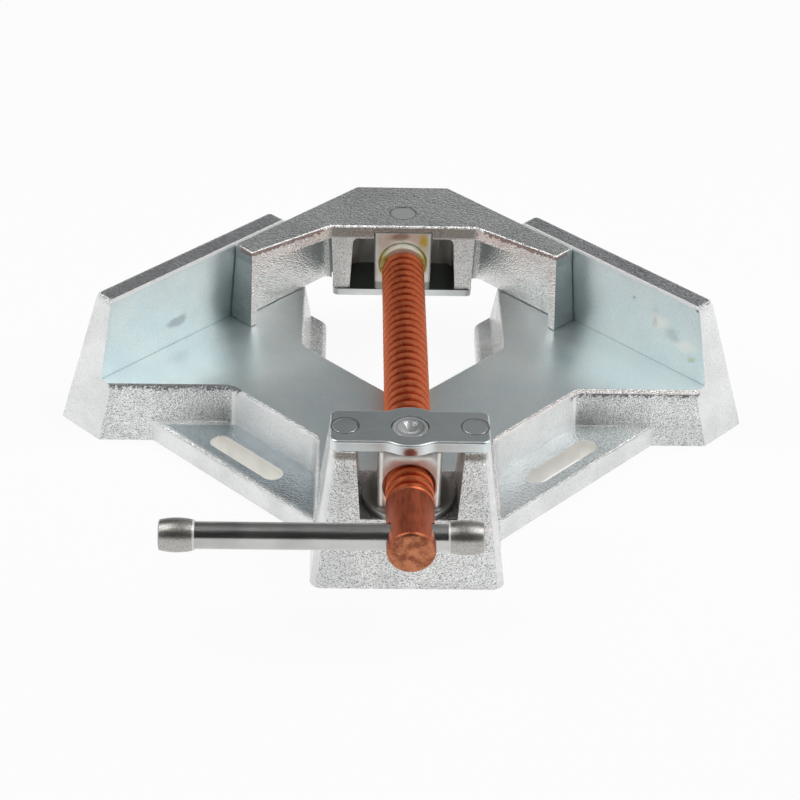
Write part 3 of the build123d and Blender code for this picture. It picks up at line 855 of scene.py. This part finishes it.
def turned(name, profile, centre, finish):
    """A solid turned about an upright axis from pairs of radius and height, which start and end on it."""
    mesh = bmesh.new()
    first = mesh.verts.new(centre + Vector((0, 0, profile[0][1])))
    last = mesh.verts.new(centre + Vector((0, 0, profile[-1][1])))
    angles = [2 * math.pi * step / HOLE_STEPS for step in range(HOLE_STEPS)]
    rings = []
    for radius, height in profile[1:-1]:
        rings.append([mesh.verts.new(centre + Vector((radius * math.cos(a), radius * math.sin(a), height)))
                      for a in angles])
    for step in range(HOLE_STEPS):
        after = (step + 1) % HOLE_STEPS
        mesh.faces.new((first, rings[0][step], rings[0][after]))
        mesh.faces.new((last, rings[-1][after], rings[-1][step]))
        for inner, outer in zip(rings, rings[1:]):
            mesh.faces.new((inner[step], outer[step], outer[after], inner[after]))
    return new_piece(name, mesh, finish)


# Nut

def pinned_nut(finish):
    """The nut, whose upper pin has a punch mark in its end."""
    mesh = bmesh.new()
    mesh.from_mesh(nodes["screw_nut"].data)
    bmesh.ops.remove_doubles(mesh, verts=mesh.verts[:], dist=WELD_REACH)
    nut = new_piece("pinned_nut", mesh, finish)
    over = 0.02 * MM
    profile = [(0, -PUNCH_DEPTH), (PUNCH_RADIUS, over), (PUNCH_RADIUS, PUNCH_DEPTH), (0, PUNCH_DEPTH)]
    cut(nut, turned("cutter", profile, Vector((0, 0, NUT_TOP)), finish))
    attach(nut, "nut")
    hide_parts("screw_nut")


# Screw with its thread

def eased(share):
    """Share from 0 to 1, smoothed at both ends."""
    return share * share * (3 - 2 * share)


def groove_depth(share):
    """How deep the thread is, from 0 to 1, at this share of a pitch from the middle of a crest."""
    away = abs((share + 0.5) % 1.0 - 0.5)
    flank = (1.0 - CREST_SHARE - ROOT_SHARE) / 2
    return eased(min(max((away - CREST_SHARE / 2) / flank, 0.0), 1.0))


def thread_radius(share, y):
    """The thread's radius, which runs out towards the head and is chamfered at the shoulder."""
    runout = min(max((y - THREAD_START) / (RUNOUT_TURNS * PITCH), 0.0), 1.0)
    radius = SCREW_RADIUS - THREAD_DEPTH * groove_depth(share) * eased(runout)
    return min(radius, SCREW_RADIUS - THREAD_DEPTH + max(SHOULDER_Y - y, 0.0))


def thread_rows(mesh):
    """Rows of points that follow the helix, one column for each step round the axis."""
    first_y = THREAD_START - 1.5 * PITCH
    pitches = math.ceil((SHOULDER_Y - first_y) / PITCH) + 1
    rows = []
    for row in range(pitches * ROWS_PER_PITCH):
        share = row / ROWS_PER_PITCH
        ring = []
        for column in range(COLUMNS):
            angle = 2 * math.pi * column / COLUMNS
            y = first_y + PITCH * (share + column / COLUMNS)
            radius = thread_radius(share, y)
            ring.append(mesh.verts.new((radius * math.sin(angle), y, SCREW_AXIS + radius * math.cos(angle))))
        rows.append(ring)
    return rows


def thread_faces(mesh, rows):
    """Joins the rows, each of whose last column meets the first one a pitch further on."""
    for row in range(len(rows) - 1):
        for column in range(COLUMNS - 1):
            mesh.faces.new((rows[row][column], rows[row + 1][column], rows[row + 1][column + 1],
                            rows[row][column + 1]))
        if row + ROWS_PER_PITCH + 1 < len(rows):
            mesh.faces.new((rows[row][-1], rows[row + 1][-1], rows[row + ROWS_PER_PITCH + 1][0],
                            rows[row + ROWS_PER_PITCH][0]))


def cut_square(mesh, y, keep_above):
    """Cuts the mesh square to the axis and gives the edges of the cut."""
    geometry = mesh.verts[:] + mesh.edges[:] + mesh.faces[:]
    result = bmesh.ops.bisect_plane(mesh, geom=geometry, dist=1e-8, plane_co=(0, y, 0), plane_no=(0, 1, 0),
                                    clear_inner=keep_above, clear_outer=not keep_above)
    return [item for item in result["geom_cut"] if isinstance(item, bmesh.types.BMEdge)]


def carry_on(mesh, edges, radius, y):
    """Extends an open round edge to this radius and place along the axis."""
    made = bmesh.ops.extrude_edge_only(mesh, edges=edges)["geom"]
    for vert in [item for item in made if isinstance(item, bmesh.types.BMVert)]:
        out = Vector((vert.co.x, 0, vert.co.z - SCREW_AXIS)).normalized() * radius
        vert.co = Vector((out.x, y, SCREW_AXIS + out.z))
    return [item for item in made if isinstance(item, bmesh.types.BMEdge) and item.is_boundary]


def threaded_screw(finish):
    """The whole screw: plain head with the bar's hole, threaded length, and journal."""
    mesh = bmesh.new()
    thread_faces(mesh, thread_rows(mesh))
    front = cut_square(mesh, THREAD_START, True)
    rear = cut_square(mesh, SHOULDER_Y, False)
    for step in range(ROUND_STEPS + 1):
        angle = math.pi / 2 * step / ROUND_STEPS
        radius = SCREW_RADIUS - END_ROUND * (1 - math.cos(angle))
        front = carry_on(mesh, front, radius, screw_low.y + END_ROUND * (1 - math.sin(angle)))
    rear = carry_on(mesh, rear, JOURNAL_RADIUS, SHOULDER_Y)
    rear = carry_on(mesh, rear, JOURNAL_RADIUS, screw_high.y)
    bmesh.ops.holes_fill(mesh, edges=front + rear)
    screw = new_piece("threaded_screw", mesh, finish)
    bored(screw, (0, BAR_MIDDLE_Y, SCREW_AXIS), BAR_HOLE_RADIUS, 3 * SCREW_RADIUS)
    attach(screw, "screw")
    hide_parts("screw")


# Finishes on the nodes of the frame

def is_machined(face, node, apex):
    """Whether a casting's face is the deck's top or a clamping face."""
    x, y, z = face.center
    if node == "base_casting" and face.normal.z > MACHINED_FACING:
        return abs(z - DECK_TOP) < MACHINED_REACH
    diagonal = Vector((math.copysign(1, x), 1, 0)).normalized()
    return (abs(face.normal.dot(diagonal)) > MACHINED_FACING
            and abs(abs(x) + y - apex) < MACHINED_REACH)


def dress(node, *finishes):
    """Gives a node these materials, the first of them on all its faces."""
    mesh = nodes[node].data
    mesh.materials.clear()
    for finish in finishes:
        mesh.materials.append(finish)


def dress_casting(node, apex, cast, machined):
    """Gives a casting its grainy skin, and its machined faces theirs."""
    dress(node, cast, machined)
    for face in nodes[node].data.polygons:
        face.material_index = int(is_machined(face, node, apex))


def soften_edges(node):
    """Breaks a casting's sharp edges by a small bevel."""
    casting = nodes[node]
    weld = casting.modifiers.new("weld", "WELD")
    weld.merge_threshold = WELD_REACH
    flat = casting.modifiers.new("flat", "DECIMATE")
    flat.decimate_type = "DISSOLVE"
    flat.angle_limit = FLAT_ANGLE
    flat.delimit = {"MATERIAL"}
    bevel = casting.modifiers.new("bevel", "BEVEL")
    bevel.width = EDGE_WIDTH
    bevel.segments = EDGE_STEPS
    bevel.limit_method = "ANGLE"
    bevel.angle_limit = SHARP_ANGLE
    bevel.harden_normals = True


# Studio

def white_paper():
    """Paper that keeps shadows, and shows white to the camera, in metal and through glass."""
    finish = bpy.data.materials.new("white_floor")
    finish.use_nodes = True
    tree = Nodes(finish.node_tree)
    path = tree.add("ShaderNodeLightPath")
    seen = tree.math("MAXIMUM", path.outputs["Is Camera Ray"], path.outputs["Is Glossy Ray"])
    seen = tree.math("MAXIMUM", seen, path.outputs["Is Transmission Ray"])
    paper = tree.add("ShaderNodeBsdfDiffuse", {"Color": PAPER_TONE})
    glow = tree.add("ShaderNodeEmission", {"Color": colour(1, 1, 1), "Strength": 1.0})
    share = tree.math("MULTIPLY", seen, FLOOR_WHITE)
    blend = tree.add("ShaderNodeMixShader", {0: share, 1: paper.outputs[0], 2: glow.outputs[0]})
    output = tree.add("ShaderNodeOutputMaterial")
    tree.feed(output.inputs["Surface"], blend.outputs[0])
    return finish


def white_floor():
    """A white sheet under the clamp."""
    mesh = bmesh.new()
    bmesh.ops.create_grid(mesh, x_segments=1, y_segments=1, size=FLOOR_SIZE / 2)
    floor = new_piece("floor", mesh, white_paper())
    floor.location.z = bounds_at_load[0][2]


def studio_world():
    """White round the horizon, bright at the sides, dim behind and above, and dark in front."""
    world = bpy.data.worlds.new("studio")
    world.use_nodes = True
    tree = Nodes(world.node_tree)
    direction = tree.add("ShaderNodeTexCoord").outputs["Generated"]
    x = tree.axis(direction, "X")
    left = tree.ramp(x, -0.75, -0.35, LEFT_LIGHT, 0.0)
    right = tree.ramp(x, 0.35, 0.75, 0.0, RIGHT_LIGHT)
    behind = tree.ramp(x, -0.15, 0.15, BACK_LEFT_LIGHT, BACK_RIGHT_LIGHT)
    back = tree.ramp(tree.axis(direction, "Y"), -0.5, 0.1, FRONT_LIGHT, behind)
    sky = tree.math("MAXIMUM", tree.math("MAXIMUM", left, right), back)
    horizon = tree.ramp(tree.axis(direction, "Z"), HORIZON_BOTTOM, HORIZON_TOP, 1.0, 0.0)
    light = tree.math("MAXIMUM", sky, horizon)
    background = tree.add("ShaderNodeBackground", {"Color": light, "Strength": 1.0})
    output = tree.add("ShaderNodeOutputWorld")
    tree.feed(output.inputs["Surface"], background.outputs[0])
    bpy.context.scene.world = world


def softbox(name, place, aim, size, watts):
    """A square area lamp at this place, turned towards aim."""
    lamp = bpy.data.lights.new(name, "AREA")
    lamp.size = size
    lamp.energy = watts
    box = bpy.data.objects.new(name, lamp)
    box.location = place
    box.rotation_euler = (Vector(aim) - Vector(place)).to_track_quat("-Z", "Y").to_euler()
    bpy.context.scene.collection.objects.link(box)


def camera():
    data = bpy.data.cameras.new("camera")
    data.lens = CAMERA_LENS
    data.sensor_width = SENSOR_WIDTH
    view = bpy.data.objects.new("camera", data)
    tilt = Matrix.Rotation(math.pi / 2 - CAMERA_PITCH, 4, "X")
    turn = Matrix.Rotation(CAMERA_YAW, 4, "Z")
    roll = Matrix.Rotation(CAMERA_ROLL, 4, "Z")
    view.matrix_world = Matrix.Translation(CAMERA_PLACE) @ turn @ tilt @ roll
    bpy.context.scene.collection.objects.link(view)
    bpy.context.scene.camera = view


# The scene

base_zinc = cast_zinc("base_zinc", FRONT_TONE, END_LIGHT_TONE, TOP_SHADE_TONE, front_grain=1.0)
jaw_zinc = cast_zinc("jaw_zinc", JAW_FRONT_TONE, JAW_END_SHADE_TONE, JAW_TOP_SHADE_TONE, front_grain=0.5)
milled = machined_zinc()
plate = plate_zinc()
warm = nut_zinc()

dress_casting("base_casting", APEX_Y, base_zinc, milled)
dress_casting("moving_jaw", APEX_Y - JAW_GAP * math.sqrt(2), jaw_zinc, milled)
for name in ("base_casting", "moving_jaw"):
    soften_edges(name)
for name in ("bridge_plate", "bridge_rivets", "keeper_plate", "keeper_rivets", "retaining_ring"):
    dress(name, plate)
dress("thrust_block", warm)
pinned_nut(warm)
dress("handle_knob_left", knob_steel("left_knob_steel", LEFT_COLLAR))
dress("handle_knob_right", knob_steel("right_knob_steel", RIGHT_COLLAR))
dress("handle_bar", bar_steel())
dress("thrust_ring", greasy_yellow())
threaded_screw(copper_plate())

white_floor()
studio_world()
for side, name, watts in ((-1, "left_box", LEFT_WATTS), (1, "right_box", RIGHT_WATTS)):
    place = (side * LAMP_PLACE[0], LAMP_PLACE[1], LAMP_PLACE[2])
    softbox(name, place, LAMP_AIM, LAMP_SIZE, watts)
camera()

scene = bpy.context.scene
scene.view_settings.view_transform = "Standard"
